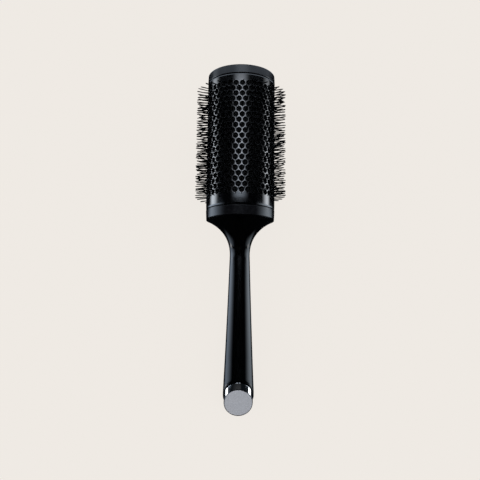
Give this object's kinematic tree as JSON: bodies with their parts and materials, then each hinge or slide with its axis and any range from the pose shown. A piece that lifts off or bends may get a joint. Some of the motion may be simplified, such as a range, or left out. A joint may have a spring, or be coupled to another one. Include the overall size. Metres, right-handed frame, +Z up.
{
  "type": "round barrel hairbrush",
  "caption": "Round hairbrush: vented black barrel with wavy bristles all round, matte end rings, a tapered soft-touch handle and a slanted satin metal end with a chromed edge.",
  "frame": {"origin": "centre of the brush's outline on the surface that it lies on", "axes": "+Z up; +Y from the handle's end to the brush's tip; +X to the right of someone holding the handle. The brush's own axis rises 8.41 degrees towards the tip, because the bristles stand wider than the handle's end"},
  "size_m": [0.0734, 0.2736, 0.0853],
  "materials": {
    "ceramic": "gloss black ceramic coating on an aluminium tube",
    "band": "fine matte dark grey moulding",
    "soft_touch": "satin black soft-touch layer",
    "bristle_nylon": "black heat-resistant nylon",
    "inner_plastic": "plain black moulding, out of sight",
    "steel": "zinc-plated steel, out of sight",
    "chrome": "mirror chrome",
    "satin": "fine satin silver"
  },
  "bodies": {
    "root": {"handle_core": "inner_plastic", "handle_grip": "soft_touch", "collar_ring": "band", "rear_hub": "inner_plastic", "barrel": "ceramic", "front_hub": "inner_plastic", "tip_ring": "band", "tip_cover": "band", "tie_rod": "steel", "tie_washer": "steel", "tie_nut": "steel", "end_plug": "inner_plastic", "end_sleeve": "chrome", "end_disc": "satin", "bristle_strip_01": "bristle_nylon", "bristle_strip_02": "bristle_nylon", "bristle_strip_03": "bristle_nylon", "bristle_strip_04": "bristle_nylon", "bristle_strip_05": "bristle_nylon", "bristle_strip_06": "bristle_nylon", "bristle_strip_07": "bristle_nylon", "bristle_strip_08": "bristle_nylon", "bristle_strip_09": "bristle_nylon", "bristle_strip_10": "bristle_nylon", "bristle_strip_11": "bristle_nylon", "bristle_strip_12": "bristle_nylon", "bristle_strip_13": "bristle_nylon", "bristle_strip_14": "bristle_nylon", "bristle_strip_15": "bristle_nylon", "bristle_strip_16": "bristle_nylon", "bristle_strip_17": "bristle_nylon", "bristle_strip_18": "bristle_nylon", "bristle_strip_19": "bristle_nylon", "bristle_strip_20": "bristle_nylon", "bristle_strip_21": "bristle_nylon", "bristle_strip_22": "bristle_nylon", "bristle_strip_23": "bristle_nylon", "bristle_strip_24": "bristle_nylon", "bristle_strip_25": "bristle_nylon", "bristle_strip_26": "bristle_nylon", "bristle_strip_27": "bristle_nylon", "bristle_strip_28": "bristle_nylon", "bristle_strip_29": "bristle_nylon", "bristle_strip_30": "bristle_nylon", "bristle_strip_31": "bristle_nylon", "bristle_strip_32": "bristle_nylon", "bristle_strip_33": "bristle_nylon", "bristle_strip_34": "bristle_nylon"}
  },
  "joints": []
}
